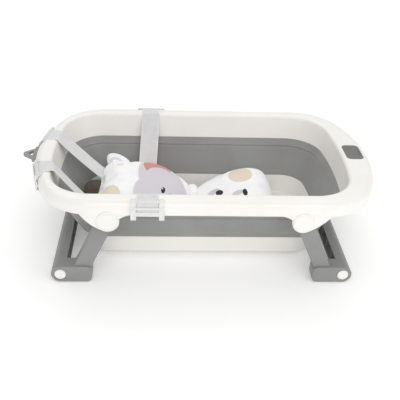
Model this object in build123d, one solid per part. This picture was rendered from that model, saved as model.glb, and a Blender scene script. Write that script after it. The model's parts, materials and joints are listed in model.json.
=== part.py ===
from build123d import *

import math
import os
from dataclasses import dataclass

# Collapsible baby bathtub, in millimetres. +X runs towards the foot end, +Y to the rear side, +Z up.
# The origin is on the floor, at the middle of the tub's footprint (the hanging loop included).

# ---------------------------------------------------------------- upper rim
RIM_TOP_Z = 219.0
SKIRT_BOTTOM_Z = 188.0
SKIN = 3.0                    # moulded wall thickness of the hard plastic
CROWN_OUTER_RADIUS = 17.0
CROWN_INNER_RADIUS = 8.0
INNER_WALL_BOTTOM_Z = 160.0
RIB_BOTTOM_Z = 197.0
RIB_THICKNESS = 2.4
RIB_COUNT = 7
RIB_SPACING = 62.0
END_RIB_COUNT = 5
END_RIB_SPACING = 45.0
SCREW_RADIUS = 2.0
SCREW_GAP = 0.05
BOSS_RADIUS = 5.5
PILOT_DEPTH = 15.0
SOAP_X = 387.0
SOAP_SIZE_X = 43.0
SOAP_SIZE_Y = 74.0
SOAP_CORNER = 12.0
SOAP_DEPTH = 3.0
SOAP_GAP = 0.3                # soap rest to its recess in the rim
SOAP_PROUD = 0.6
SOAP_DISH_RADIUS = 160.0
SOAP_DISH_DEPTH = 1.6

# ---------------------------------------------------------------- soft folding wall
BAND_COUNT = 4
WALL_THICKNESS = 2.5
BAND_GAP = 0.5                # free space between one band and the next as they telescope
BAND_OVERLAP = 1.0
WALL_BOTTOM_Z = 64.5
TAPER_LEFT = 9.6              # how far each band leans in over its own height
TAPER_RIGHT = 7.375
TAPER_SIDE = 7.0
TAPER_CORNER = 4.9

# ---------------------------------------------------------------- base tray
BASE_TOP_Z = WALL_BOTTOM_Z + BAND_OVERLAP
BASE_BOTTOM_Z = 12.0
BASE_FLOOR = 3.0
BASE_EDGE_RADIUS = 9.0
PAD_RADIUS = 15.0
PAD_BOTTOM_Z = 7.0
DRAIN_X = 235.0
DRAIN_RADIUS = 16.0
SEAL_Z = BASE_BOTTOM_Z + 0.6
SEAL_HEIGHT = 2.4
BASE_PAD_X = (-215.0, 225.0)
BASE_PAD_Y = 105.0

# ---------------------------------------------------------------- folding legs
HINGE_MIDDLE_X = 9.0
HINGE_REACH = 215.0           # hinge axes lie this far either side of HINGE_MIDDLE_X
HINGE_Z = 171.0
PIN_RADIUS = 4.0
RUNNING_GAP = 0.05
BUSH_RADIUS = 7.0
LEG_INNER_Y = 211.0
LEG_OUTER_Y = 238.0
LEG_HALF_WIDTH = 18.0
LEG_RUN = 60.0                # the leg leans out this far ...
LEG_DROP = 129.0              # ... over this drop
FOOT_INNER_Y = 208.0
FOOT_OUTER_Y = 243.5
FOOT_PAD = 1.5
FOOT_TOP_Z = 43.2
CAP_RUN = 111.5               # from hinge axis out to the axis of the foot's end cap
FOOT_TOE_RUN = 40.0           # from hinge axis out to the foot's inner end
FOOT_CORNER = 12.0
FOOT_CAP_RADIUS = 13.0
FOOT_CAP_SEAT = 2.5           # depth of the cap's seat in the foot
CAP_GROOVE_RADIUS = 14.6      # shallow groove round the cap
CAP_GROOVE_DEPTH = 1.2
CAP_BOSS_RADIUS = 15.0
FOOT_SCREW_DEPTH = 9.5
FOOT_SCREW_HEAD_RADIUS = 4.6
LEG_SKIN = 3.0
LEG_EDGE_RADIUS = 1.6
LEG_HOLLOW_START = 22.0       # from the hinge along the leg
LEG_RIB_PLACES = (52.0, 82.0, 112.0)
FOOT_RIB_RUNS = (66.0, 84.0)
CROSSBAR_DEPTH = 12.0         # from the foot cap's axis to the crossbar's open side
CROSSBAR_WALL = 4.0
CROSSBAR_RIB_COUNT = 7
CROSSBAR_RIB_SPACING = 52.0

# ---------------------------------------------------------------- hinge brackets
CHEEK_INNER_Y = 242.9
CHEEK_STEP_Y = 245.3
BRACKET_FACE_Y = 248.4
BACK_CHEEK_INNER_Y = 204.8
BACK_CHEEK_OUTER_Y = 208.5
WEB_BOTTOM_Z = 192.0
WEB_TOP_Z = 196.0
BRACKET_END_RUN = 60.0        # from the hinge to the bracket's end nearer the tub's end ...
BRACKET_MIDDLE_RUN = 50.0     # ... and to its end nearer the tub's middle
CHEEK_RADIUS = 26.0           # the cheeks' lower edge runs round the hinge at this radius ...
CHEEK_ARC = (166.0, 237.0, 297.5)  # ... through these angles, in degrees
HINGE_CAP_RADIUS = 24.5
HINGE_CAP_FACE_Y = 251.4
CAP_RING_RADIUS = 21.6        # groove near the hinge cap's edge
CAP_RING_WIDTH = 1.1
CAP_RING_DEPTH = 0.8
BOSS_OFFSET = 36.0
BOSS_Y = 226.0

# ---------------------------------------------------------------- hanging loop
LOOP_PIVOT_X = -398.0
LOOP_Z = 199.0
LOOP_Y = 3.0
LOOP_HALF_BASE = 26.0
LOOP_SHARP_TIP = 33.75        # from the pivot to where the eye's two straight edges would meet
LOOP_TIP_RADIUS = 9.0
LOOP_THICKNESS = 7.0
LOOP_PIN_RADIUS = 1.5

# ---------------------------------------------------------------- bath cushion and its straps
SIDE_STRAP_X = -119.0
HEAD_STRAPS = (               # name, Y of the clip on the head end, and where the webbing meets the cushion
    ("head_rear", 74.0, (-246, 72, 98)),
    ("head_front", -100.0, (-260, -84, 100)),
)
SIDE_STRAP_END = (129.0, 99.0)  # |Y| and Z where the side webbing meets the cushion
HEAD_PAD_X = -150.0           # the head pad tilts about this line ...
HEAD_PAD_Z = 96.0
HEAD_PAD_HEIGHT = 70.0
HEAD_PAD_TILT = 7.0           # ... by this many degrees, head end up
SEAT_BOTTOM_Z = 18.0
SEAT_TOP_Z = 122.0
SEAT_SIDE_Y = 120.0
STRAP_WIDTH = 48.0
STRAP_THICKNESS = 2.0
CLIP_WIDTH = 73.0
CLIP_BAR = 12.0
CLIP_THICKNESS = 3.0
CLIP_GAP = 0.4                # clip to rim
CLIP_HOOK_Z = 178.0
CLIP_HOOK_REACH = 6.0         # behind the skirt
CLIP_LOW_BAR = (0.0, 10.0)    # heights above the skirt's lower edge
CLIP_HIGH_BAR = (16.0, 21.0)
CLIP_CROWN_BAR = (46.0, 64.0)  # angles round the crown, in degrees
CLIP_CROWN_END = 78.0
STRAP_LIFT = 0.4              # over the rim
STRAP_LEAD = 12.0             # straight stretch below the rim's inner edge ...
STRAP_FALL = 50.0             # ... at this angle below the horizontal, in degrees


@dataclass
class Outline:
    """Plan outline: straight long sides, rounded corners and gently bowed ends."""

    left: float
    right: float
    half_width: float
    corner: float
    bow: float

    def inset(self, distance):
        return Outline(
            self.left + distance,
            self.right - distance,
            self.half_width - distance,
            self.corner - distance,
            self.bow - distance,
        )

    def tapered(self, share=1.0):
        return Outline(
            self.left + TAPER_LEFT * share,
            self.right - TAPER_RIGHT * share,
            self.half_width - TAPER_SIDE * share,
            self.corner - TAPER_CORNER * share,
            self.bow - TAPER_LEFT * share,
        )

    def end_points(self, end_x, way):
        """Corner arc start on the side, its middle, and its tangent point on the bowed end."""
        rise = self.half_width - self.corner
        run = math.sqrt((self.bow - self.corner) ** 2 - rise**2)
        tangent = math.atan2(rise, run)
        middle = (tangent + math.pi / 2) / 2
        bow_x = end_x - way * self.bow
        corner_x = bow_x + way * run
        side = (corner_x, self.half_width)
        bend = (corner_x + way * self.corner * math.cos(middle), rise + self.corner * math.sin(middle))
        end = (bow_x + way * self.bow * math.cos(tangent), self.bow * math.sin(tangent))
        return side, bend, end

    def face(self, z):
        right_side, right_bend, right_end = self.end_points(self.right, 1)
        left_side, left_bend, left_end = self.end_points(self.left, -1)

        def low(point):
            return (point[0], -point[1])

        edges = [
            ThreePointArc(low(right_end), (self.right, 0), right_end),
            ThreePointArc(right_end, right_bend, right_side),
            Line(right_side, left_side),
            ThreePointArc(left_side, left_bend, left_end),
            ThreePointArc(left_end, (self.left, 0), low(left_end)),
            ThreePointArc(low(left_end), low(left_bend), low(left_side)),
            Line(low(left_side), low(right_side)),
            ThreePointArc(low(right_side), low(right_bend), low(right_end)),
        ]
        return Pos(0, 0, z) * make_face(edges)


def frustum(bottom, bottom_z, top, top_z):
    """Solid between two plan outlines."""
    return loft([bottom.face(bottom_z), top.face(top_z)], ruled=True)


def slab(profile, low_y, high_y):
    """A profile drawn in the XZ plane, made solid from low_y to high_y."""
    return extrude(Pos(0, low_y, 0) * profile, amount=high_y - low_y, dir=(0, 1, 0))


def disc(radius, x, z, low_y, high_y):
    """Cylinder along Y."""
    return slab(Plane.XZ * Pos(x, z) * Circle(radius), low_y, high_y)


def profile_xz(edges):
    """A face in the XZ plane from edges drawn as (x, z)."""
    return Plane.XZ * make_face(edges)


RIM_OUTER = Outline(-392.0, 426.0, 248.5, 130.0, 420.0)
RIM_MOUTH = Outline(-351.0, 357.0, 207.5, 96.0, 900.0)
WALL_TOP = Outline(-338.0, 347.0, 191.0, 92.0, 880.0)


# ================================================================ upper rim
def at_height(z):
    """The rim's inner wall outline at a height."""
    share = (z - INNER_WALL_BOTTOM_Z) / (RIM_TOP_Z - INNER_WALL_BOTTOM_Z)

    def mix(low, high):
        return low + (high - low) * share

    return Outline(
        mix(WALL_TOP.left, RIM_MOUTH.left),
        mix(WALL_TOP.right, RIM_MOUTH.right),
        mix(WALL_TOP.half_width, RIM_MOUTH.half_width),
        mix(WALL_TOP.corner, RIM_MOUTH.corner),
        mix(WALL_TOP.bow, RIM_MOUTH.bow),
    )


def soap_blank(gap, bottom_z, top_z):
    shape = RectangleRounded(SOAP_SIZE_X - 2 * gap, SOAP_SIZE_Y - 2 * gap, SOAP_CORNER - gap)
    return extrude(Pos(SOAP_X, 0, bottom_z) * shape, amount=top_z - bottom_z)


def standing_box(x, y, z, size_x, size_y, size_z):
    """Box centred on (x, y) that stands on z."""
    return Pos(x, y, z) * Box(size_x, size_y, size_z, align=(Align.CENTER, Align.CENTER, Align.MIN))


def standing_rod(x, y, z, radius, height):
    """Vertical cylinder that stands on z."""
    return Pos(x, y, z) * Cylinder(radius, height, align=(Align.CENTER, Align.CENTER, Align.MIN))


def boss_places():
    """Centres of the screw bosses under the crown, two for each hinge bracket."""
    for hinge_x in (HINGE_MIDDLE_X - HINGE_REACH, HINGE_MIDDLE_X + HINGE_REACH):
        for offset in (-BOSS_OFFSET, BOSS_OFFSET):
            for y in (-BOSS_Y, BOSS_Y):
                yield hinge_x + offset, y


def rim_ribs(channel):
    """Stiffening ribs across the hollow underside of the rim."""
    rib_height = RIM_TOP_Z - RIB_BOTTOM_Z
    blades = []
    for i in range(RIB_COUNT):
        x = HINGE_MIDDLE_X + (i - (RIB_COUNT - 1) / 2) * RIB_SPACING
        blades.append(standing_box(x, 0, RIB_BOTTOM_Z, RIB_THICKNESS, 600, rib_height))
    for i in range(END_RIB_COUNT):
        y = (i - (END_RIB_COUNT - 1) / 2) * END_RIB_SPACING
        blades.append(standing_box(0, y, RIB_BOTTOM_Z, 900, RIB_THICKNESS, rib_height))
    return channel & (Part() + blades)


def upper_rim():
    crown = extrude(RIM_OUTER.face(SKIRT_BOTTOM_Z), amount=RIM_TOP_Z - SKIRT_BOTTOM_Z)
    crown = fillet(crown.faces().sort_by(Axis.Z)[-1].edges(), CROWN_OUTER_RADIUS)
    wall = frustum(WALL_TOP.inset(-SKIN), INNER_WALL_BOTTOM_Z, RIM_MOUTH.inset(-SKIN), RIM_TOP_Z)
    low_z = INNER_WALL_BOTTOM_Z - 1
    high_z = RIM_TOP_Z + 1
    shell = crown + wall - frustum(at_height(low_z), low_z, at_height(high_z), high_z)
    inner_loop = shell.faces().sort_by(Axis.Z)[-1].inner_wires()[0]
    shell = fillet(inner_loop.edges(), CROWN_INNER_RADIUS)
    channel_base = RIM_OUTER.inset(SKIN).face(SKIRT_BOTTOM_Z - 1)
    channel = extrude(channel_base, amount=RIM_TOP_Z - SKIN - SKIRT_BOTTOM_Z + 1)
    channel = fillet(channel.faces().sort_by(Axis.Z)[-1].edges(), CROWN_OUTER_RADIUS - SKIN)
    channel = channel - wall
    boss_height = RIM_TOP_Z - SKIN - WEB_TOP_Z + 1
    bosses = [standing_rod(x, y, WEB_TOP_Z, BOSS_RADIUS, boss_height) for x, y in boss_places()]
    pilots = [standing_rod(x, y, WEB_TOP_Z, SCREW_RADIUS, PILOT_DEPTH) for x, y in boss_places()]
    rim = (shell - channel) + ([rim_ribs(channel)] + bosses)
    return rim - (pilots + [soap_blank(0, RIM_TOP_Z - SOAP_DEPTH, RIM_TOP_Z + 1)])


def soap_rest():
    """Grey dished rest set into the wide end of the rim."""
    blank = soap_blank(SOAP_GAP, RIM_TOP_Z - SOAP_DEPTH, RIM_TOP_Z + SOAP_PROUD)
    blank = fillet(blank.faces().sort_by(Axis.Z)[-1].edges(), 0.8)
    dish = Pos(SOAP_X, 0, RIM_TOP_Z + SOAP_DISH_RADIUS - SOAP_DISH_DEPTH) * Sphere(SOAP_DISH_RADIUS)
    trough = soap_blank(6, RIM_TOP_Z - 2, RIM_TOP_Z + 2) & dish
    return blank - trough


# ================================================================ soft folding wall and base tray
def wall_bands():
    """Nested rings of the soft wall, from the rim down, and the outline left for the tray inside them."""
    pitch = (INNER_WALL_BOTTOM_Z - WALL_BOTTOM_Z) / BAND_COUNT
    inner_top = WALL_TOP
    bands = []
    for i in range(BAND_COUNT):
        bottom_z = INNER_WALL_BOTTOM_Z - (i + 1) * pitch
        top_z = bottom_z + pitch + (BAND_OVERLAP if i else 0)
        inner_bottom = inner_top.tapered()
        outer = frustum(inner_bottom.inset(-WALL_THICKNESS), bottom_z, inner_top.inset(-WALL_THICKNESS), top_z)
        bands.append(outer - frustum(inner_bottom, bottom_z, inner_top, top_z))
        outer_next = inner_bottom.inset(BAND_GAP)
        inner_top = outer_next.inset(WALL_THICKNESS)
    return bands, outer_next


def base_tray(top_outline):
    bottom_outline = top_outline.tapered(1.6)
    outer = frustum(bottom_outline, BASE_BOTTOM_Z, top_outline, BASE_TOP_Z)
    outer = fillet(outer.faces().sort_by(Axis.Z)[0].edges(), BASE_EDGE_RADIUS)
    floor_z = BASE_BOTTOM_Z + BASE_FLOOR
    hollow = frustum(bottom_outline.inset(SKIN), floor_z, top_outline.inset(SKIN), BASE_TOP_Z)
    hollow = fillet(hollow.faces().sort_by(Axis.Z)[0].edges(), BASE_EDGE_RADIUS - SKIN)
    tray = outer - hollow
    return tray - standing_rod(DRAIN_X, 0, 0, DRAIN_RADIUS + 4, BASE_BOTTOM_Z + 20)


# ================================================================ folding legs
def leg_point(along, across=0.0):
    """Point on the leg, along its centre line from the hinge and across it, as (run, z)."""
    length = math.hypot(LEG_RUN, LEG_DROP)
    run = (LEG_RUN * along + LEG_DROP * across) / length
    return run, HINGE_Z + (-LEG_DROP * along + LEG_RUN * across) / length


def leg_strip(half_width, start, stop):
    corners = [
        leg_point(start, -half_width),
        leg_point(start, half_width),
        leg_point(stop, half_width),
        leg_point(stop, -half_width),
    ]
    return Plane.XZ * make_face(Polyline(*corners, close=True))


CAP_Z = (FOOT_TOP_Z + FOOT_PAD) / 2
FOOT_END_RADIUS = (FOOT_TOP_Z - FOOT_PAD) / 2


def foot_profile(inset=0.0):
    """Side view of the foot: a round outer end about the cap and a softer inner end."""
    top = FOOT_TOP_Z - inset
    bottom = FOOT_PAD + inset
    toe = FOOT_TOE_RUN + inset
    corner = FOOT_CORNER - inset
    bend = corner * (1 - math.sqrt(0.5))
    edges = [
        Line((toe + corner, top), (CAP_RUN, top)),
        ThreePointArc((CAP_RUN, top), (CAP_RUN + FOOT_END_RADIUS - inset, CAP_Z), (CAP_RUN, bottom)),
        Line((CAP_RUN, bottom), (toe + corner, bottom)),
        ThreePointArc((toe + corner, bottom), (toe + bend, bottom + bend), (toe, bottom + corner)),
        Line((toe, bottom + corner), (toe, top - corner)),
        ThreePointArc((toe, top - corner), (toe + bend, top - bend), (toe + corner, top)),
    ]
    return profile_xz(edges)


def leg():
    """One leg with its foot, hinge axis at X = 0 and leaning out towards +X, on the +Y side."""
    strip_length = 150.0
    strip = leg_strip(LEG_HALF_WIDTH, 0, strip_length)
    above_foot = Plane.XZ * Pos(0, FOOT_TOP_Z + 100) * Rectangle(400, 202)
    head = Plane.XZ * Pos(0, HINGE_Z) * Circle(LEG_HALF_WIDTH)
    body = slab((strip & above_foot) + head, LEG_INNER_Y, LEG_OUTER_Y)
    face_edges = body.faces().sort_by(Axis.Y)[-1].edges().filter_by(lambda e: e.center().Z > FOOT_TOP_Z + 1)
    body = fillet(face_edges, LEG_EDGE_RADIUS)
    foot = slab(foot_profile(), FOOT_INNER_Y, FOOT_OUTER_Y)
    foot = fillet(foot.faces().sort_by(Axis.Y)[-1].edges(), LEG_EDGE_RADIUS)
    body = body + foot

    leg_hollow = leg_strip(LEG_HALF_WIDTH - LEG_SKIN, LEG_HOLLOW_START, strip_length) & above_foot
    foot_hollow = foot_profile(LEG_SKIN)
    boss = Plane.XZ * Pos(CAP_RUN, CAP_Z) * Circle(CAP_BOSS_RADIUS)
    hollow = slab(leg_hollow, LEG_INNER_Y - 1, LEG_OUTER_Y - LEG_SKIN)
    hollow = hollow + slab(foot_hollow - boss, FOOT_INNER_Y - 1, FOOT_OUTER_Y - LEG_SKIN)
    half_rib = RIB_THICKNESS / 2
    ribs = []
    for along in LEG_RIB_PLACES:
        rib = leg_strip(LEG_HALF_WIDTH, along - half_rib, along + half_rib)
        ribs.append(slab(rib, LEG_INNER_Y + 1, LEG_OUTER_Y))
    long_rib = leg_strip(half_rib, LEG_HOLLOW_START - 4, strip_length) & above_foot
    ribs.append(slab(long_rib, LEG_INNER_Y + 1, LEG_OUTER_Y))
    for run in FOOT_RIB_RUNS:
        rib = Plane.XZ * Pos(run, CAP_Z) * Rectangle(RIB_THICKNESS, 60)
        ribs.append(slab(rib, FOOT_INNER_Y + 1, FOOT_OUTER_Y))
    body = body - (hollow - ribs)
    body = body - disc(BUSH_RADIUS + 0.02, 0, HINGE_Z, LEG_INNER_Y - 1, LEG_OUTER_Y + 1)
    body = body - disc(CAP_GROOVE_RADIUS, CAP_RUN, CAP_Z, FOOT_OUTER_Y - CAP_GROOVE_DEPTH, FOOT_OUTER_Y + 1)
    body = body - disc(FOOT_CAP_RADIUS, CAP_RUN, CAP_Z, FOOT_OUTER_Y - FOOT_CAP_SEAT, FOOT_OUTER_Y + 1)
    body = body - disc(5.0, CAP_RUN, CAP_Z, FOOT_OUTER_Y - FOOT_SCREW_DEPTH, FOOT_OUTER_Y)
    return body - disc(SCREW_RADIUS, CAP_RUN, CAP_Z, FOOT_INNER_Y - 1, FOOT_OUTER_Y)


def crossbar_profile(inset, mouth_run):
    radius = FOOT_END_RADIUS - inset
    edges = [
        Line((mouth_run, CAP_Z + radius), (CAP_RUN, CAP_Z + radius)),
        ThreePointArc((CAP_RUN, CAP_Z + radius), (CAP_RUN + radius, CAP_Z), (CAP_RUN, CAP_Z - radius)),
        Line((CAP_RUN, CAP_Z - radius), (mouth_run, CAP_Z - radius)),
        Line((mouth_run, CAP_Z - radius), (mouth_run, CAP_Z + radius)),
    ]
    return profile_xz(edges)


def crossbar():
    """Channel between the two feet, open towards the tub, with cross ribs."""
    mouth = CAP_RUN - CROSSBAR_DEPTH
    half = FOOT_INNER_Y - 0.1
    channel = slab(crossbar_profile(0, mouth), -half, half)
    hollow = slab(crossbar_profile(LEG_SKIN, mouth - 1), CROSSBAR_WALL - half, half - CROSSBAR_WALL)
    ribs = []
    rib_profile = crossbar_profile(1, mouth + 4)
    for i in range(CROSSBAR_RIB_COUNT):
        y = (i - (CROSSBAR_RIB_COUNT - 1) / 2) * CROSSBAR_RIB_SPACING
        ribs.append(slab(rib_profile, y - RIB_THICKNESS / 2, y + RIB_THICKNESS / 2))
    bar = channel - (hollow - ribs)
    for y in (-half - 1, half - 21):
        bar = bar - disc(SCREW_RADIUS, CAP_RUN, CAP_Z, y, y + 22)
    return bar


def foot_screw():
    head_y = FOOT_OUTER_Y - FOOT_SCREW_DEPTH
    head = disc(FOOT_SCREW_HEAD_RADIUS, CAP_RUN, CAP_Z, head_y, head_y + 3.5)
    shank = disc(SCREW_RADIUS - SCREW_GAP, CAP_RUN, CAP_Z, FOOT_INNER_Y - 14, FOOT_OUTER_Y - 8)
    slot = slab(Plane.XZ * Pos(CAP_RUN, CAP_Z) * Rectangle(6, 1.2), FOOT_OUTER_Y - 7, FOOT_OUTER_Y)
    return head + shank - slot


def foot_cap():
    cap = disc(FOOT_CAP_RADIUS - 0.15, CAP_RUN, CAP_Z, FOOT_OUTER_Y - FOOT_CAP_SEAT, FOOT_OUTER_Y + 0.6)
    return fillet(cap.faces().sort_by(Axis.Y)[-1].edges(), 1.2)


def foot_pad():
    length = CAP_RUN - FOOT_TOE_RUN - FOOT_CORNER
    middle_y = (FOOT_INNER_Y + FOOT_OUTER_Y) / 2
    shape = RectangleRounded(length - 4, FOOT_OUTER_Y - FOOT_INNER_Y - 8, 6)
    return extrude(Pos(CAP_RUN - length / 2, middle_y, 0) * shape, amount=FOOT_PAD)


def leg_bush():
    sleeve = disc(BUSH_RADIUS, 0, HINGE_Z, LEG_INNER_Y, LEG_OUTER_Y)
    low_collar = disc(BUSH_RADIUS + 5, 0, HINGE_Z, BACK_CHEEK_OUTER_Y + 0.4, LEG_INNER_Y)
    high_collar = disc(BUSH_RADIUS + 5, 0, HINGE_Z, LEG_OUTER_Y, CHEEK_INNER_Y - 0.4)
    bore = disc(PIN_RADIUS + RUNNING_GAP, 0, HINGE_Z, BACK_CHEEK_OUTER_Y, CHEEK_INNER_Y)
    return sleeve + low_collar + high_collar - bore


# ================================================================ hinge brackets
def bracket_profile():
    """Cheek outline seen from the side, hinge at X = 0, the tub's nearer end towards +X."""
    far = BRACKET_END_RUN
    near = -BRACKET_MIDDLE_RUN

    def round_hinge(degrees):
        turn = math.radians(degrees)
        return CHEEK_RADIUS * math.cos(turn), HINGE_Z + CHEEK_RADIUS * math.sin(turn)

    start, middle, stop = (round_hinge(degrees) for degrees in CHEEK_ARC)
    edges = [
        Line((far, SKIRT_BOTTOM_Z), (far, WEB_TOP_Z)),
        Line((far, WEB_TOP_Z), (near, WEB_TOP_Z)),
        Line((near, WEB_TOP_Z), (near, SKIRT_BOTTOM_Z)),
        ThreePointArc((near, SKIRT_BOTTOM_Z), (-34, HINGE_Z + 12), start),
        ThreePointArc(start, middle, stop),
        ThreePointArc(stop, (35, HINGE_Z - 8.5), (far, SKIRT_BOTTOM_Z)),
    ]
    return profile_xz(edges)


def hinge_bracket():
    """Clevis that hangs under the rim and holds the leg between two cheeks."""
    outline = bracket_profile()
    below_skirt = Plane.XZ * Pos(0, SKIRT_BOTTOM_Z - 60) * Rectangle(200, 119.4)
    bracket = slab(outline, CHEEK_INNER_Y, CHEEK_STEP_Y)
    bracket = bracket + slab(outline & below_skirt, CHEEK_STEP_Y, BRACKET_FACE_Y)
    bracket = bracket + slab(outline, BACK_CHEEK_INNER_Y, BACK_CHEEK_OUTER_Y)
    web_middle = (BRACKET_END_RUN - BRACKET_MIDDLE_RUN) / 2
    web_shape = Rectangle(BRACKET_END_RUN + BRACKET_MIDDLE_RUN, WEB_TOP_Z - WEB_BOTTOM_Z)
    web_profile = Plane.XZ * Pos(web_middle, (WEB_BOTTOM_Z + WEB_TOP_Z) / 2) * web_shape
    bracket = bracket + slab(web_profile, BACK_CHEEK_INNER_Y, CHEEK_STEP_Y)
    bracket = bracket - disc(PIN_RADIUS + 0.02, 0, HINGE_Z, BACK_CHEEK_INNER_Y - 1, BRACKET_FACE_Y + 1)
    for offset in (-BOSS_OFFSET, BOSS_OFFSET):
        bracket = bracket - standing_rod(offset, BOSS_Y, WEB_BOTTOM_Z - 1, SCREW_RADIUS + 0.3, 10)
    return bracket


def under_rim(bracket):
    """Keeps a placed bracket inside the skirt, and inside the rim's outline below it."""
    room_z = SKIRT_BOTTOM_Z - 0.3
    low = extrude(RIM_OUTER.inset(0.1).face(HINGE_Z - 60), amount=room_z - HINGE_Z + 60)
    high = extrude(RIM_OUTER.inset(SKIN + 0.2).face(room_z), amount=30)
    return bracket & (low + high)


def hinge_pin():
    pin = disc(PIN_RADIUS, 0, HINGE_Z, BACK_CHEEK_INNER_Y - 1.5, BRACKET_FACE_Y - 0.2)
    return chamfer(pin.edges(), 0.5)


def hinge_cap():
    """Round cover over the pin, on the outer face of bracket and skirt."""
    cap = disc(HINGE_CAP_RADIUS, 0, HINGE_Z, RIM_OUTER.half_width + 0.1, HINGE_CAP_FACE_Y)
    cap = fillet(cap.faces().sort_by(Axis.Y)[-1].edges(), 1.8)
    ring_y = HINGE_CAP_FACE_Y - CAP_RING_DEPTH
    ring = disc(CAP_RING_RADIUS, 0, HINGE_Z, ring_y, HINGE_CAP_FACE_Y + 1)
    return cap - (ring - disc(CAP_RING_RADIUS - CAP_RING_WIDTH, 0, HINGE_Z, ring_y, HINGE_CAP_FACE_Y + 1))


def bracket_screws():
    """Two screws that hold one bracket up to the rim."""
    screws = []
    for offset in (-BOSS_OFFSET, BOSS_OFFSET):
        head = standing_rod(offset, BOSS_Y, WEB_BOTTOM_Z - 2.4, 3.8, 2.4)
        shank = standing_rod(offset, BOSS_Y, WEB_BOTTOM_Z - 1, SCREW_RADIUS - SCREW_GAP, 17)
        slot = standing_box(offset, BOSS_Y, WEB_BOTTOM_Z - 3, 6, 1.1, 1.6)
        screws.append(head + shank - slot)
    return screws


# ================================================================ hanging loop
def at_loop(shape):
    return Pos(LOOP_PIVOT_X, LOOP_Y, LOOP_Z) * shape


def rod_along_y(radius, length):
    return Rot(90, 0, 0) * Cylinder(radius, length)


def hanging_loop():
    """Flat triangular eye on a barrel that turns in the loop bracket."""
    outer = make_face(Polyline((0, -LOOP_HALF_BASE), (0, LOOP_HALF_BASE), (-LOOP_SHARP_TIP, 0), close=True))
    plate = fillet(outer.vertices().sort_by(Axis.X)[0], LOOP_TIP_RADIUS)
    window = make_face(Polyline((-4.5, -14), (-4.5, 14), (-17.5, 0), close=True))
    window = fillet(window.vertices(), 1.5)
    plate = extrude(plate - window, amount=LOOP_THICKNESS / 2, both=True)
    loop = plate + rod_along_y(LOOP_THICKNESS / 2, 2 * LOOP_HALF_BASE)
    return at_loop(loop - rod_along_y(LOOP_PIN_RADIUS + RUNNING_GAP, 200))


def loop_bracket():
    """Plate on the rim's end with two ears that carry the loop's pin."""
    plate = Pos(5.5, 0, 0) * Box(6.0, 2 * LOOP_HALF_BASE + 13, 12)
    ears = []
    for way in (-1, 1):
        ears.append(Pos(1.0, way * (LOOP_HALF_BASE + 3.4), 0) * Box(8, 6, 8))
    swing = rod_along_y(LOOP_THICKNESS / 2 + 0.3, 2 * LOOP_HALF_BASE + 0.6)
    body = at_loop(plate + ears - swing - rod_along_y(LOOP_PIN_RADIUS + 0.02, 200))
    rim_end = extrude(RIM_OUTER.inset(-0.1).face(SKIRT_BOTTOM_Z), amount=RIM_TOP_Z - SKIRT_BOTTOM_Z)
    return body - rim_end


def loop_pin():
    return at_loop(rod_along_y(LOOP_PIN_RADIUS, 2 * LOOP_HALF_BASE + 12))


# ================================================================ drain
def drain_seat():
    """Ring moulded into the tray's floor, with a tapered seat for the plug."""
    flange = standing_rod(DRAIN_X, 0, BASE_BOTTOM_Z + BASE_FLOOR, DRAIN_RADIUS + 8, 1.2)
    neck = standing_rod(DRAIN_X, 0, BASE_BOTTOM_Z - 2, DRAIN_RADIUS + 3.9, 5.2)
    bore = standing_rod(DRAIN_X, 0, 0, DRAIN_RADIUS, 40)
    return flange + neck - bore


def drain_plug():
    """Push-in plug with a pull tab."""
    top_z = BASE_BOTTOM_Z + BASE_FLOOR + 1.2
    head = standing_rod(DRAIN_X, 0, top_z + 0.1, DRAIN_RADIUS + 5, 2.4)
    head = fillet(head.faces().sort_by(Axis.Z)[-1].edges(), 1.0)
    stem = standing_rod(DRAIN_X, 0, BASE_BOTTOM_Z - 1, DRAIN_RADIUS - 2.5, top_z - BASE_BOTTOM_Z + 1.5)
    groove = standing_rod(DRAIN_X, 0, SEAL_Z, DRAIN_RADIUS, SEAL_HEIGHT) - standing_rod(
        DRAIN_X, 0, SEAL_Z, DRAIN_RADIUS - 4, SEAL_HEIGHT
    )
    tab = Pos(DRAIN_X, 0, top_z + 2) * RectangleRounded(3, 18, 1.4)
    tab = extrude(tab, amount=7)
    return head + stem - groove + tab


def plug_seal():
    outer = standing_rod(DRAIN_X, 0, SEAL_Z + 0.05, DRAIN_RADIUS - 0.3, SEAL_HEIGHT - 0.1)
    outer = fillet(outer.edges(), 1.0)
    return outer - standing_rod(DRAIN_X, 0, SEAL_Z - 1, DRAIN_RADIUS - 3.95, SEAL_HEIGHT + 2)


def base_pads():
    pads = []
    for x in BASE_PAD_X:
        for y in (-BASE_PAD_Y, BASE_PAD_Y):
            pad = standing_rod(x, y, PAD_BOTTOM_Z, PAD_RADIUS, BASE_BOTTOM_Z - PAD_BOTTOM_Z)
            pads.append(fillet(pad.faces().sort_by(Axis.Z)[0].edges(), 2.0))
    return pads


# ================================================================ strap clips, straps and cushion
def clip_section(start, stop, low, high):
    """Part of the clip's bent plate over the crown's outer edge, between two angles and two heights."""
    bend_y = -CROWN_OUTER_RADIUS
    bend_z = RIM_TOP_Z - CROWN_OUTER_RADIUS
    sector = []
    for radius in (low, high):
        for angle in (start, (start + stop) / 2, stop):
            turn = math.radians(angle)
            sector.append((bend_y + radius * math.cos(turn), bend_z + radius * math.sin(turn)))
    edges = [
        ThreePointArc(sector[0], sector[1], sector[2]),
        Line(sector[2], sector[5]),
        ThreePointArc(sector[5], sector[4], sector[3]),
        Line(sector[3], sector[0]),
    ]
    return make_face(edges)


def across(profile, middle_x, width):
    """A (y, z) profile made solid along X, width wide."""
    return extrude(Pos(middle_x - width / 2, 0, 0) * (Plane.YZ * profile), amount=width, dir=(1, 0, 0))


def rectangle_between(low_y, low_z, high_y, high_z):
    return Pos((low_y + high_y) / 2, (low_z + high_z) / 2) * Rectangle(high_y - low_y, high_z - low_z)


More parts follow.
